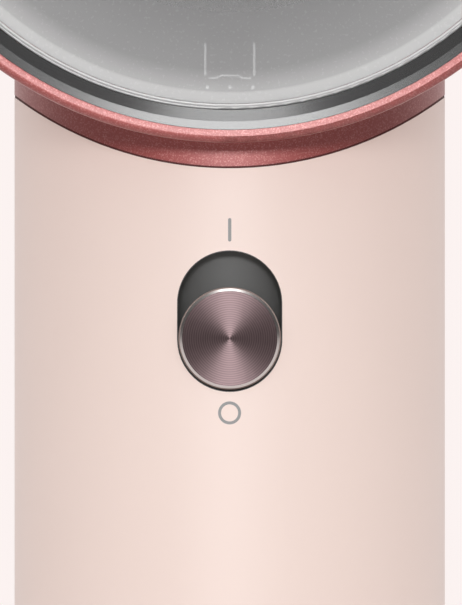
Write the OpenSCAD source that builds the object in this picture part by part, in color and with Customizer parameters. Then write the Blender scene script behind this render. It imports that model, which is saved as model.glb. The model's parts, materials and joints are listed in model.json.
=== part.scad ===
// Paddle-type hot air brush. A straight tubular handle carries a round head
// with a window on the switch side and a cushioned brush on the other side.
// Air enters at the base, is driven and heated inside the handle, turns in
// the head and leaves between the bristles.
// Millimetres, +Z up along the handle, switch and window toward -Y, bristles
// toward +Y, origin on the handle's axis at the face that it stands on.

/* [Handle] */
// Outside diameter of the handle
handle_d = 43; // [42:0.5:46]
// Height of the collar line's lowest point above the base
handle_h = 160; // [154:1:190]
// Wall of the outer sleeve
sleeve_wall = 1.6; // [1.3:0.1:1.9]
// Wall of the chassis tube inside the sleeve
chassis_wall = 1.4; // [1.1:0.1:1.7]
// Gap between a piece and the one that it sits or moves in
fit_gap = 0.3; // [0.25:0.05:0.35]
// Width of the parting lines that show
seam = 0.2; // [0.1:0.05:0.3]

/* [Head] */
// Outside diameter of the head at its front lip
head_d = 78.6; // [76:0.2:86]
// How far the front lip stands out before the handle
lip_reach = 3.8; // [3.4:0.1:5]
// Width of the rounded lip, seen from the front
lip_w = 1.25; // [1:0.05:1.5]
// Radius of the lip's outer rounding, from its crest
lip_round = 0.63; // [0.5:0.01:0.95]
// How far the side of the head lies inside its lip
side_step = 0.6; // [0.3:0.1:1]
// Wall of the head shell
head_wall = 2; // [1.6:0.1:2.4]
// How far the back of the head stands out behind the handle
back_reach = 2; // [1.5:0.1:4]
// Radius of the head's rounded back edge
back_round = 1.7; // [1:0.1:1.9]
// Radius of the curved line where the sleeve meets the head
collar_r = 35.5; // [34:0.5:40]
// Height of the neck band between that line and the head, at the middle
collar_drop = 2.5; // [2:0.1:4]

/* [Window] */
// Width of the grey bezel ring round the window
bezel_w = 1.95; // [1.5:0.05:3]
// Width of the bezel's sloped inner band
bezel_slope = 1.15; // [0.8:0.05:1.4]
// How far the bezel's outer band falls toward the window
bezel_dish = 0.25; // [0.1:0.05:0.4]
// Width of the thin trim ring inside the bezel
trim_w = 0.55; // [0.4:0.05:0.8]
// Gap beside the bezel and the trim ring, which are pressed in
trim_gap = 0.04; // [0.03:0.01:0.1]
// Gap between the plates and boards that are stacked or pressed in
ring_gap = 0.1; // [0.05:0.05:0.15]
// Depth of the window's face behind the lip
window_recess = 2.3; // [2:0.1:3]
// Thickness of the window
window_t = 2; // [1.5:0.1:2.2]
// Width of the raised rim round the window
window_rim = 1.15; // [0.8:0.05:2]
// Thickness of the light plate behind the window
plate_t = 0.8; // [0.6:0.1:1]
// Thickness of the circuit boards
board_t = 1.2; // [1:0.1:1.6]
// Width of the shelf that carries the window
shelf_w = 3.2; // [2.5:0.1:4]
// Thickness of that shelf
shelf_t = 1.2; // [1:0.1:1.4]
// Distance of the status lights from the window's edge
light_inset = 1.7; // [1.4:0.01:4]
// Spacing of the status lights
light_pitch = 2.25; // [1.8:0.05:3]
// Diameter of one status light
light_d = 0.6; // [0.4:0.1:1]

/* [Power switch] */
// Width of the slot that the slider moves in
slot_w = 10.4; // [9:0.1:12]
// Distance between the middles of the slot's two round ends
slot_travel = 3.6; // [2.5:0.1:5]
// Distance from the collar line down to the slot's lower round end
switch_drop = 16.9; // [16:0.1:20]
// Gap between the slider's cap and the slot beside it
cap_gap = 0.25; // [0.2:0.05:0.4]
// Gap between the cap and the end of the slot
end_gap = 0.1; // [0.05:0.05:0.3]
// How far the cap stands out before the handle
cap_proud = 0.4; // [0.2:0.1:1]
// Chamfer round the cap
cap_chamfer = 0.25; // [0.1:0.05:0.4]
// Width of the skirt round the foot of the cap
cap_skirt = 0.12; // [0.05:0.01:0.15]
// How far the shutter reaches past the slot on each side
shutter_cover = 1.5; // [1:0.1:2]
// Thickness of the shutter behind the slot
shutter_t = 1.2; // [1:0.1:1.4]
// Width of the slide switch
switch_w = 10; // [8:0.5:11]
// Height of the slide switch
switch_h = 14; // [12:0.5:16]

/* [Buttons] */
// Diameter of a push button
button_d = 8.4; // [7:0.1:10]
// Travel of a push button
button_travel = 0.7; // [0.5:0.1:1]
// Height of the lower button above the fan unit
button_rise = 16.1; // [15:0.1:18]
// Distance between the buttons
button_pitch = 14; // [13:0.5:16]
// How far a button stands out before the handle
button_proud = 0.9; // [0.8:0.1:1.5]
// Side of a tact switch
tact_w = 6; // [5:0.5:7]

/* [Brush] */
// Width of the ring that holds the cushion
ring_w = 4.6; // [4:0.1:5.5]
// Height of that ring behind the head
ring_h = 1.8; // [1.2:0.1:2.5]
// Height of the cushion's crown above its rim
crown_h = 2.5; // [1.5:0.1:3]
// Thickness of the vent plate under the cushion
vent_plate_t = 1.6; // [1.2:0.1:1.8]
// Length of a bristle beyond the cushion's crown
bristle_h = 15; // [12:0.5:18]
// Diameter of a bristle at its foot
bristle_d = 2; // [1.6:0.1:2.2]
// Diameter of a bristle below its ball
bristle_neck_d = 1.3; // [1:0.1:1.6]
// Diameter of the ball on a bristle's tip
tip_d = 2.2; // [1.8:0.1:2.3]
// Diameter of the flat head that holds a bristle under the cushion
bristle_head_d = 2.6; // [2.4:0.1:3]
// Gap between the outermost bristles and the ring
bristle_edge = 2.3; // [2:0.1:3.5]
// Diameter of an air vent
vent_d = 3; // [2:0.1:3.4]

/* [Fan and motor] */
// Height of the fan unit's lower end above the base
fan_z = 46; // [45:0.5:48]
// Height of the fan unit
fan_h = 33; // [31:0.5:35]
// Height of the impeller
impeller_h = 9; // [7:0.5:10]
// Number of blades on the impeller
blade_count = 9; // [5:1:13]
// Diameter of the motor
motor_d = 19; // [17:0.5:20]
// Diameter of the motor's shaft
shaft_d = 2.5; // [2:0.1:3]
// Radial clearance of the shaft in its bearings
shaft_fit = 0.05; // [0.02:0.01:0.1]
// Gap between the blades and the shroud
blade_gap = 0.5; // [0.4:0.1:0.8]
// Number of fixed vanes behind the impeller
vane_count = 7; // [5:1:9]

/* [Heater] */
// Diameter of one turn of the heating coil
coil_d = 23.2; // [21:0.2:24]
// Diameter of the heating wire
wire_d = 1; // [0.8:0.1:1.4]
// Number of turns
coil_turns = 7; // [4:1:7]
// Distance between the turns
coil_pitch = 3.2; // [2.8:0.1:3.4]
// Thickness of a mica sheet
mica_t = 1; // [0.8:0.1:1.4]
// Height of the heat shield
shield_h = 28; // [26:0.5:30]

/* [Base] */
// Height of the filter cage
filter_h = 38; // [37:0.5:40]
// Diameter of an inlet hole
inlet_d = 2.4; // [1.8:0.1:2.8]
// Rows of inlet holes
inlet_rows = 6; // [4:1:6]
// Holes in one row
inlet_count = 24; // [16:2:26]
// Distance between the rows
inlet_pitch = 4; // [3.6:0.1:4.2]
// Thickness of the cage's floor
floor_t = 2.4; // [2:0.1:2.8]
// Rounding of the cage's lower edge
base_round = 1.4; // [0.8:0.1:1.5]
// Thickness of the filter mesh
mesh_t = 0.5; // [0.4:0.1:0.7]
// Diameter of the swivelling cord gland
gland_d = 13; // [12:0.5:14]
// Bore of the gland, for a 7 mm cord
cord_bore_d = 7.2; // [6:0.1:8]

/* [Hidden] */

$fn = 96;
// Segments of the small round pieces
small_fn = 32;
// How far a cutter reaches past what it cuts
cut = 1;

// Handle, from the outside inward
handle_r = handle_d / 2;
bore_r = handle_r - sleeve_wall;
chassis_r = bore_r - fit_gap;
duct_r = chassis_r - chassis_wall;

// Head and its collar line
head_r = head_d / 2;
head_z = handle_h + collar_drop + head_r;
collar_z = handle_h + collar_r;
lip_y = -handle_r - lip_reach;
lip_band_w = 1.5;
band_y = -handle_r + lip_band_w;
back_y = handle_r + back_reach;
side_r = head_r - side_step;
cavity_r = side_r - head_wall;
neck_in_r = (head_r - lip_w + side_r) / 2;
throat_r = duct_r - seam;
crest_r = head_r - lip_round;
lip_inner_round = 1.6;
tongue_step = 0.15;
chassis_top = head_z - cavity_r;

// Window stack, from the lip inward and from the front backward
bezel_r = head_r - lip_w - trim_gap;
trim_r = bezel_r - bezel_w - trim_gap;
window_r = trim_r - trim_w - trim_gap;
bezel_recess = 0.3;
bezel_front_y = lip_y + bezel_recess;
window_y = lip_y + window_recess;
window_rim_h = 0.15;
plate_y = window_y + window_t + ring_gap;
board_y = plate_y + plate_t + ring_gap;
shelf_y = board_y + board_t + ring_gap;
shelf_in_r = window_r - shelf_w;
stack_r = window_r - ring_gap;
trim_proud = 0.9;
light_z = head_z - window_r + light_inset;

// Air guide behind the window stack
guide_t = 1.2;
guide_y = shelf_y + shelf_t + fit_gap;
guide_r = 27;
guide_bend_drop = 10;
guide_bend_z = head_z - guide_bend_drop;

// Brush cartridge, from the vent plate backward
ring_r = cavity_r - fit_gap;
ring_in_r = ring_r - ring_w;
ring_round = 1.2;
ring_top_y = back_y + ring_h;
seat_depth = 1.9;
cushion_seat_y = back_y - seat_depth;
vent_plate_y = cushion_seat_y - ring_gap - vent_plate_t;
cushion_r = ring_in_r + ring_round;
cushion_rim_t = ring_top_y - ring_round - fit_gap - cushion_seat_y;
cushion_top_y = cushion_seat_y + cushion_rim_t + crown_h;
dome_r = (pow(cushion_r, 2) + pow(crown_h, 2)) / (2 * crown_h);
bristle_head_t = 1;
bristle_head_gap = 0.2;
rows = 9;
row_margin = 1.5;
field_r = ring_in_r - bristle_edge;
row_pitch = (field_r - row_margin) / ((rows - 1) / 2);
bristle_top_y = cushion_top_y + bristle_h;
bristle_fit = 0.1;
foot_reach = 1;
vent_reach = field_r - vent_d / 2;
boss_r = 2.4;
boss_root = 0.5;
boss_at_r = cavity_r - boss_r + boss_root;
boss_y = 6;
boss_hole_l = 8;
screw_d = 2.2;
screw_head_d = 3.8;
screw_head_h = 1.2;
screw_fit = 0.1;
screw_end_gap = 1;
recess_w = 0.5;
recess_h = 0.6;
sensor_w = 5;
sensor_t = 2.6;
sensor_h = 3;

// Power switch
slot_z = handle_h - switch_drop;
slot_r = slot_w / 2;
cap_r = slot_r - cap_gap;
cap_z = slot_z + end_gap;
cap_travel = slot_travel - 2 * end_gap;
cap_skirt_y = 0.95;
cap_skirt_t = 0.4;
shutter_r = bore_r - fit_gap;
shutter_w = slot_w + 2 * shutter_cover;
shutter_low_z = slot_z - slot_r - shutter_cover - cap_travel;
shutter_top_z = slot_z + slot_travel + slot_r + shutter_cover;
shutter_back_y = -(shutter_r - shutter_t);
control_y = -8;
board_front_y = control_y - board_t;
board_half = sqrt(pow(duct_r, 2) - pow(board_front_y, 2)) - fit_gap;
switch_z = cap_z + cap_travel / 2;
switch_gap = 1;
switch_front_y = shutter_back_y + switch_gap;
lever_w = 2.4;
lever_h = 3.2;
lever_in = 4;

// Buttons and the board behind them
heat_z = fan_z + fan_h + button_rise;
speed_z = heat_z + button_pitch;
button_r = button_d / 2;
button_hole_r = button_r + fit_gap;
button_flange_w = 1.2;
button_flange_r = button_r + button_flange_w;
button_flange_t = 1.2;
button_flange_y = -sqrt(pow(bore_r, 2) - pow(button_flange_r, 2)) + fit_gap;
button_top_y = -(handle_r + button_proud);
button_dish_r = 16;
button_dish = 0.5;
tact_h = 3.2;
plunger_h = 0.9;
plunger_d = 3.4;
plunger_y = board_front_y - ring_gap - tact_h - plunger_h;
button_post_y = plunger_y - button_travel - ring_gap;
board_margin = 8;
board_low_z = heat_z - board_margin;
board_top_z = switch_z + switch_h / 2;
rail_w = 1.6;
rail_t = 1;

// Heater
ledge_t = 1.2;
ledge_w = 1.6;
ledge_z = board_top_z + 2 * fit_gap;
shield_z = ledge_z + ledge_t + fit_gap;
shield_flange_r = duct_r - fit_gap;
shield_flange_t = 1.2;
shield_inset = 2.4;
shield_r = shield_flange_r - shield_inset;
shield_t = 0.6;
mica_half = shield_r - shield_t - fit_gap;
mica_inset = 2;
mica_z = shield_z + mica_inset;
mica_h = shield_h - 2 * mica_inset;
coil_z = mica_z + (mica_h - (coil_turns - 1) * coil_pitch) / 2;
coil_notch = 0.2;
cutout_w = 6;
cutout_t = 3;
cutout_h = 10;
cutout_rise = 6;
cutout_inset = 1;

// Fan unit, from the duct inward
mount_r = duct_r - ring_gap;
mount_rib = 0.8;
mount_t = 1;
shroud_r = mount_r - mount_rib - mount_t - ring_gap;
shroud_t = 1.2;
shroud_in_r = shroud_r - shroud_t;
blade_r = shroud_in_r - blade_gap;
fan_inset = 1.5;
impeller_z = fan_z + fan_inset;
impeller_nose_h = 1.5;
blade_root = 0.5;
impeller_hub_r = 5.5;
blade_t = 0.9;
blade_tilt = 40;
motor_r = motor_d / 2;
motor_gap = 2;
motor_z = impeller_z + impeller_h + motor_gap;
motor_h = fan_h - (motor_z - fan_z) - fan_inset;
cup_t = 1.1;
can_t = 0.8;
end_t = 2.6;
bearing_r = 3.2;
bearing_h = 2.2;
stator_gap = 0.1;
stator_t = 2.4;
stator_slot_d = 2;
tooth_count = 6;
air_gap = 0.5;
core_inset = 1;
stator_in_r = motor_r - can_t - stator_t;
magnet_r = stator_in_r - air_gap;
core_z = motor_z + end_t + core_inset;
core_h = motor_h - 2 * (end_t + core_inset);
shaft_end = 1;
shaft_r = shaft_d / 2;
shaft_hole_gap = 0.6;
press_gap = 0.01;

// Base, from the cage inward
cage_top_z = filter_h;
sleeve_z = filter_h + seam;
cage_lap = 6;
skirt_z = cage_top_z - cage_lap;
mesh_r = bore_r - seam;
inlet_cage_gap = 1.9;
inlet_cage_r = mesh_r - mesh_t - inlet_cage_gap;
inlet_cage_t = 1.2;
hub_disc_gap = 0.5;
hub_disc_z = floor_t + hub_disc_gap;
hub_disc_t = 3;
inlet_cage_z = hub_disc_z + hub_disc_t + ring_gap;
hub_wall = 2.2;
hub_r = gland_d / 2 + fit_gap + hub_wall;
hub_low_z = 0.3;
gland_low_z = 0;
hub_top_z = 15;
flange_z = 11;
flange_t = 1.7;
gland_r = gland_d / 2;
gland_flange_w = 1.4;
gland_flange_r = gland_r + gland_flange_w;
gland_ring_lap = 1;
hub_bore_r = gland_r + fit_gap;
hub_step_r = gland_flange_r + fit_gap;
hub_screw_at_r = inlet_cage_r - inlet_cage_t - boss_r + boss_root;
hub_boss_z = inlet_cage_z + ring_gap;
hub_screw_count = 3;
spoke_count = 6;

// A child that is built along +Z, turned to run toward +Y about the line
// through the middle of the head
module along_y(y, z = head_z) {
    translate([0, y, z]) rotate([-90, 0, 0]) children();
}

// A child outline in y and z, drawn out along X over a width
module along_x(w) {
    translate([-w / 2, 0, 0]) rotate([90, 0, 90]) linear_extrude(w) children();
}

module tube(r, r_in, h) {
    difference() {
        cylinder(r = r, h = h);
        translate([0, 0, -cut]) cylinder(r = r_in, h = h + 2 * cut);
    }
}

// An outline's rectangle between two radii and two heights
module band(r0, r1, h0, h1) {
    translate([r0, h0]) square([r1 - r0, h1 - h0]);
}

// Copies its children round the Z axis
module ring_of(count) {
    for (i = [0 : count - 1]) rotate([0, 0, i * 360 / count]) children();
}

// --- Head -----------------------------------------------------------------

module head_outline() {
    // Rounded lip, with its crest nearer its inner edge
    intersection() {
        translate([crest_r, lip_y + lip_round]) circle(r = lip_round);
        band(crest_r, head_r, lip_y, lip_y + lip_round);
    }
    intersection() {
        translate([crest_r, lip_y + lip_inner_round]) circle(r = lip_inner_round);
        band(head_r - lip_w, crest_r, lip_y, lip_y + lip_round);
    }
    // Lip's band, the seat of the rings, the step in to the side, the shelf
    // that carries the window stack, and the side with its thinner edge
    polygon([
        [head_r - lip_w, lip_y + lip_round], [head_r, lip_y + lip_round], [head_r, band_y],
        [side_r, band_y + side_step], [side_r, back_y - back_round],
        [side_r - back_round, back_y - back_round], [side_r - back_round, back_y],
        [cavity_r, back_y], [cavity_r, shelf_y + shelf_t],
        [shelf_in_r, shelf_y + shelf_t], [shelf_in_r, shelf_y], [window_r, shelf_y],
        [window_r, plate_y], [head_r - lip_w, plate_y]
    ]);
    // Rounded back edge
    intersection() {
        translate([side_r - back_round, back_y - back_round]) circle(r = back_round);
        band(side_r - back_round, side_r, back_y - back_round, back_y);
    }
}

// The handle's round form above the collar line, a gap away from that line
module neck_form(r, gap) {
    intersection() {
        cylinder(r = r, h = head_z);
        along_y(-handle_r - cut, collar_z) cylinder(r = collar_r - gap, h = handle_d + 2 * cut);
    }
}

module head_shell() {
    color("#8e5a56") difference() {
        union() {
            along_y(0) rotate_extrude() head_outline();
            // Neck band, with a tongue that closes the joint at the collar line
            difference() {
                union() {
                    neck_form(handle_r, seam);
                    neck_form(handle_r - tongue_step, trim_gap);
                }
                along_y(-handle_r - cut)
                    cylinder(r = neck_in_r, h = handle_d + 2 * cut);
            }
            // Bosses for the vent plate's screws
            for (a = [45 : 90 : 315])
                along_y(boss_y) rotate([0, 0, a]) translate([boss_at_r, 0, 0])
                    cylinder(r = boss_r, h = vent_plate_y - ring_gap - boss_y);
        }
        // Seat of the chassis tube, and the throat that the air comes up
        cylinder(r = bore_r, h = chassis_top + fit_gap);
        cylinder(r = throat_r, h = head_z - cavity_r / 2);
        for (a = [45 : 90 : 315])
            along_y(vent_plate_y - ring_gap - boss_hole_l) rotate([0, 0, a])
                translate([boss_at_r, 0, 0])
                    cylinder(r = screw_d / 2 + screw_fit, h = boss_hole_l + cut, $fn = small_fn);
    }
}

// Grey ring between the lip and the window: a dished band and a sloped one
module bezel_ring() {
    slope_r = bezel_r - (bezel_w - bezel_slope);
    color("#8f8f8f") along_y(0) rotate_extrude() polygon([
        [bezel_r - bezel_w, plate_y - ring_gap], [bezel_r, plate_y - ring_gap],
        [bezel_r, bezel_front_y], [slope_r, bezel_front_y + bezel_dish],
        [bezel_r - bezel_w, window_y - trim_proud]
    ]);
}

// Thin bright ring with two fine beads
module trim_ring() {
    bead_r = trim_w / 4;
    color("#b8b8b8") along_y(0) rotate_extrude() {
        band(trim_r - trim_w, trim_r, window_y - trim_proud / 2, plate_y - ring_gap);
        for (i = [1, 3])
            translate([trim_r - i * bead_r, window_y - trim_proud / 2])
                circle(r = bead_r, $fn = small_fn);
    }
}

module window_disc() {
    color("#a9a9a9") along_y(0) rotate_extrude() {
        band(0, window_r, window_y, window_y + window_t);
        band(window_r - window_rim, window_r, window_y - window_rim_h, window_y + cut / 2);
    }
}

// Where the status lights stand, in a row at the window's lower edge
module at_lights() {
    for (i = [-1 : 1]) translate([i * light_pitch, 0, light_z]) children();
}

module light_plate() {
    color("#d0d0d0") difference() {
        along_y(plate_y) cylinder(r = stack_r, h = plate_t);
        at_lights() along_y(plate_y - cut, 0)
            cylinder(r = light_d / 2 + ring_gap, h = plate_t + 2 * cut, $fn = small_fn);
    }
}

module status_board() {
    color("#2f5a46") along_y(board_y) cylinder(r = stack_r, h = board_t);
}

module status_lights() {
    color("#ffffff") at_lights() along_y(plate_y - ring_gap / 2, 0)
        cylinder(r = light_d / 2, h = board_y - plate_y, $fn = small_fn);
}

// Curved sheet that keeps the air off the boards and turns it to the brush
module air_guide() {
    bend_y = guide_y + guide_r;
    color("#3a3a3a") intersection() {
        along_x(2 * cavity_r) {
            translate([guide_y, chassis_top + fit_gap])
                square([guide_t, guide_bend_z - chassis_top - fit_gap]);
            intersection() {
                difference() {
                    translate([bend_y, guide_bend_z]) circle(r = guide_r);
                    translate([bend_y, guide_bend_z]) circle(r = guide_r - guide_t);
                }
                translate([guide_y, guide_bend_z]) square([guide_r, guide_r]);
            }
            translate([bend_y, guide_bend_z + guide_r - guide_t])
                square([vent_plate_y - fit_gap - bend_y, guide_t]);
        }
        along_y(lip_y) cylinder(r = cavity_r - fit_gap, h = back_y - lip_y);
    }
}

// --- Brush ----------------------------------------------------------------

// Height of a row of bristles above the middle of the head
function row_z(row) = (row - (rows + 1) / 2) * row_pitch;

// Half the width that a row at a height may take
function row_half(z) = sqrt(pow(field_r, 2) - pow(z, 2));

// Where the bristles of a row stand: every second row is shifted by half
function row_xs(row) =
    let (shift = row % 2 == 1 ? 0 : 0.5, n = floor(row_half(row_z(row)) / row_pitch - shift))
    [for (i = [-n - 2 * shift : n]) (i + shift) * row_pitch];

// Where the vents stand between two rows, a quarter step from the bristles
function vent_xs(row) =
    let (
        z = row_z(row) + row_pitch / 2,
        n = floor(sqrt(pow(vent_reach, 2) - pow(z, 2)) / row_pitch - 0.25)
    )
    [for (i = [-n : n]) (i + 0.25 * (row % 2 == 1 ? 1 : -1)) * row_pitch];

module vents(y, h) {
    for (row = [1 : rows - 1]) for (x = vent_xs(row))
        translate([x, 0, row_z(row) + row_pitch / 2]) along_y(y, head_z)
            cylinder(d = vent_d, h = h, $fn = small_fn);
}

module vent_plate() {
    color("#4a4646") difference() {
        along_y(vent_plate_y) cylinder(r = ring_r, h = vent_plate_t);
        vents(vent_plate_y - cut, vent_plate_t + 2 * cut);
        for (a = [45 : 90 : 315])
            along_y(vent_plate_y - cut) rotate([0, 0, a]) translate([boss_at_r, 0, 0]) {
                cylinder(r = screw_d / 2 + screw_fit, h = vent_plate_t + 2 * cut, $fn = small_fn);
                translate([0, 0, cut + vent_plate_t - screw_head_h])
                    cylinder(r = screw_head_d / 2 + screw_fit, h = screw_head_h + cut, $fn = small_fn);
            }
    }
}

// Flat-headed screw, head at the top, with a cross recess
module screw(l) {
    difference() {
        union() {
            cylinder(d = screw_d, h = l, $fn = small_fn);
            translate([0, 0, l - screw_head_h + screw_fit])
                cylinder(d = screw_head_d, h = screw_head_h - screw_fit, $fn = small_fn);
        }
        for (a = [0, 90]) rotate([0, 0, a])
            translate([-screw_head_d / 4, -recess_w / 2, l - recess_h])
                cube([screw_head_d / 2, recess_w, cut]);
    }
}

module vent_plate_screws() {
    l = boss_hole_l - screw_end_gap + ring_gap + vent_plate_t;
    color("#9a9a9a") for (a = [45 : 90 : 315])
        along_y(vent_plate_y + vent_plate_t - l) rotate([0, 0, a])
            translate([boss_at_r, 0, 0]) screw(l);
}

// Temperature sensor in the stream of air behind the vent plate
module heat_sensor() {
    color("#c8b070")
        translate([-sensor_w / 2, vent_plate_y - ring_gap - sensor_t, head_z - sensor_h / 2])
            cube([sensor_w, sensor_t, sensor_h]);
}

// Ring that holds the cushion's rim and covers the screws
module brush_ring() {
    color("#8e5a56") along_y(0) rotate_extrude() {
        band(cushion_r + seam, ring_r, cushion_seat_y, ring_top_y - ring_round);
        for (r = [ring_in_r + ring_round, ring_r - ring_round])
            intersection() {
                translate([r, ring_top_y - ring_round]) circle(r = ring_round, $fn = small_fn);
                band(ring_in_r, ring_r, ring_top_y - ring_round, ring_top_y);
            }
        band(ring_in_r + ring_round, ring_r - ring_round, ring_top_y - ring_round, ring_top_y);
    }
}

// Rubber cushion with a crowned face, hollow below for the bristles' heads
module cushion_pad() {
    hollow_r = field_r + row_margin;
    crown_y = cushion_seat_y + cushion_rim_t;
    color("#3d3839") difference() {
        along_y(0) rotate_extrude() difference() {
            union() {
                band(0, cushion_r, cushion_seat_y, crown_y);
                intersection() {
                    translate([0, cushion_top_y - dome_r]) circle(r = dome_r, $fn = 1440);
                    band(0, cushion_r, crown_y - ring_gap, cushion_top_y);
                }
            }
            band(-cut, hollow_r, cushion_seat_y - cut,
                 cushion_seat_y + bristle_head_t + bristle_head_gap);
        }
        vents(cushion_seat_y, cushion_top_y - cushion_seat_y + cut);
        for (row = [1 : rows]) for (x = row_xs(row))
            translate([x, 0, row_z(row)]) along_y(cushion_seat_y)
                cylinder(r = bristle_d / 2 + bristle_fit,
                         h = cushion_top_y - cushion_seat_y + cut, $fn = small_fn);
    }
}

// One bristle: a flat head, a slim foot, a taper and a ball, built along +Z
module bristle(l) {
    ball_r = tip_d / 2;
    neck_r = bristle_neck_d / 2;
    foot_h = cushion_top_y - cushion_seat_y + foot_reach;
    ball_z = l - ball_r;
    join_z = ball_z - sqrt(pow(ball_r, 2) - pow(neck_r, 2));
    cylinder(d = bristle_head_d, h = bristle_head_t, $fn = small_fn);
    cylinder(d = bristle_d, h = foot_h, $fn = small_fn);
    translate([0, 0, foot_h])
        cylinder(r1 = bristle_d / 2, r2 = neck_r, h = join_z - foot_h, $fn = small_fn);
    translate([0, 0, ball_z]) sphere(r = ball_r, $fn = small_fn);
}

// A row of bristles that stand in the cushion
module bristle_row(row) {
    color("#232021") for (x = row_xs(row))
        translate([x, 0, row_z(row)]) along_y(cushion_seat_y)
            bristle(bristle_top_y - cushion_seat_y);
}

// --- Handle ---------------------------------------------------------------

// Round-ended opening, built along -Y from the handle's axis
module stadium(r, travel, z) {
    for (dz = [0, travel]) translate([0, 0, z + dz]) rotate([90, 0, 0]) cylinder(r = r, h = handle_d);
    translate([-r, -handle_d, z]) cube([2 * r, handle_d, travel]);
}

module handle_sleeve() {
    color("#eed6cc") difference() {
        translate([0, 0, sleeve_z]) tube(handle_r, bore_r, collar_z - sleeve_z);
        along_y(-handle_r - cut, collar_z) cylinder(r = collar_r, h = handle_d + 2 * cut);
        stadium(slot_r, slot_travel, slot_z);
        for (z = [speed_z, heat_z]) translate([0, 0, z]) rotate([90, 0, 0])
            cylinder(r = button_hole_r, h = handle_d);
    }
}

// Inner tube that carries the sleeve, the head, the boards, the fan and the
// heater, with the inlet cage at its lower end
module chassis_tube() {
    window_low = shutter_low_z - fit_gap;
    window_top = shutter_top_z + cap_travel + fit_gap;
    window_w = shutter_w + 2 * fit_gap;
    color("#565253") {
        difference() {
            union() {
                translate([0, 0, skirt_z]) tube(chassis_r, duct_r, chassis_top - skirt_z);
                // Floor of the tube, ledges of the fan unit and the heat shield
                translate([0, 0, skirt_z]) tube(chassis_r, inlet_cage_r - inlet_cage_t, ledge_t);
                translate([0, 0, fan_z - fit_gap - ledge_t])
                    tube(duct_r + cut / 2, duct_r - ledge_w, ledge_t);
                translate([0, 0, ledge_z]) tube(duct_r + cut / 2, duct_r - ledge_w, ledge_t);
            }
            // Window that the shutter moves in, and the buttons' holes
            translate([-window_w / 2, -handle_r, window_low])
                cube([window_w, handle_r + control_y, window_top - window_low]);
            for (z = [speed_z, heat_z]) translate([0, control_y, z]) rotate([90, 0, 0])
                cylinder(r = button_flange_r + fit_gap, h = handle_r);
        }
        // Inlet cage with tall windows, and bosses for the hub's screws
        difference() {
            union() {
                translate([0, 0, inlet_cage_z])
                    tube(inlet_cage_r, inlet_cage_r - inlet_cage_t, skirt_z - inlet_cage_z);
                ring_of(hub_screw_count) translate([hub_screw_at_r, 0, hub_boss_z])
                    cylinder(r = boss_r, h = skirt_z + ledge_t / 2 - hub_boss_z);
            }
            ring_of(spoke_count) rotate([0, 0, 30]) inlet_window();
            ring_of(hub_screw_count) translate([hub_screw_at_r, 0, inlet_cage_z - cut])
                cylinder(r = screw_d / 2 + screw_fit, h = boss_hole_l + cut, $fn = small_fn);
        }
        board_rails();
    }
}

// Round-ended window of the inlet cage
module inlet_window() {
    w = 9;
    rim = 2;
    low = inlet_cage_z + rim + w / 2;
    top = skirt_z - rim - w / 2;
    for (z = [low, top]) translate([0, 0, z]) rotate([0, 90, 0]) cylinder(d = w, h = handle_r);
    translate([0, -w / 2, low]) cube([handle_r, w, top - low]);
}

// Four rails that hold the edges of the control board
module board_rails() {
    l = board_top_z - board_low_z;
    intersection() {
        for (side = [-1, 1]) for (y = [board_front_y - ring_gap - rail_t, control_y + ring_gap])
            translate([side > 0 ? board_half - rail_w : -handle_r, y, board_low_z])
                cube([handle_r - board_half + rail_w, rail_t, l]);
        translate([0, 0, board_low_z - cut]) cylinder(r = duct_r + chassis_wall / 2, h = l + 2 * cut);
    }
}

module control_board() {
    color("#2f5a46") translate([-board_half, board_front_y, board_low_z])
        cube([2 * board_half, board_t, board_top_z - board_low_z]);
}

// --- Power switch ---------------------------------------------------------

module slide_switch() {
    y = board_front_y - ring_gap;
    groove_h = lever_h + cap_travel + 2 * fit_gap;
    groove_w = lever_w + 2 * fit_gap;
    color("#1f1f1f") difference() {
        translate([-switch_w / 2, switch_front_y, switch_z - switch_h / 2])
            cube([switch_w, y - switch_front_y, switch_h]);
        translate([-groove_w / 2, switch_front_y - cut, switch_z - groove_h / 2])
            cube([groove_w, lever_in + cut + fit_gap, groove_h]);
    }
}

module switch_lever() {
    y = shutter_back_y + fit_gap;
    color("#d8d4cc") translate([-lever_w / 2, y, cap_z - lever_h / 2])
        cube([lever_w, switch_front_y + lever_in - y, lever_h]);
}

// Curved plate that closes the slot behind the cap and moves with it
module slider_shutter() {
    h = shutter_top_z - shutter_low_z;
    color("#5d5f5d") intersection() {
        translate([0, 0, shutter_low_z]) tube(shutter_r, shutter_r - shutter_t, h);
        translate([-shutter_w / 2, -handle_r, shutter_low_z]) cube([shutter_w, handle_r, h]);
    }
}

// Turned metal cap of the slider with a skirt, built from its face inward
module slider_cap() {
    face_y = -(handle_r + cap_proud);
    t = -shutter_r - ring_gap / 2 - face_y;
    color("#7d676b") along_y(face_y, cap_z) rotate_extrude() polygon([
        [0, 0], [cap_r - cap_chamfer, 0], [cap_r, cap_chamfer], [cap_r, cap_skirt_y],
        [cap_r + cap_skirt, cap_skirt_y], [cap_r + cap_skirt, cap_skirt_y + cap_skirt_t],
        [cap_r, cap_skirt_y + cap_skirt_t], [cap_r, t], [0, t]
    ]);
}

// --- Buttons --------------------------------------------------------------

// Push button with a dished face, a flange behind the sleeve and a post
module push_button(z) {
    flange_back_y = button_flange_y + button_flange_t;
    difference() {
        union() {
            along_y(button_top_y, z) cylinder(r = button_r, h = flange_back_y - button_top_y);
            along_y(button_flange_y, z) cylinder(r = button_flange_r, h = button_flange_t);
            along_y(button_flange_y, z)
                cylinder(r = plunger_d / 2, h = button_post_y - button_flange_y, $fn = small_fn);
        }
        along_y(button_top_y + button_dish - button_dish_r, z) rotate_extrude()
            intersection() {
                circle(r = button_dish_r, $fn = 720);
                band(0, button_dish_r, 0, button_dish_r);
            }
    }
}

module speed_button() {
    color("#7d676b") push_button(speed_z);
}

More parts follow.
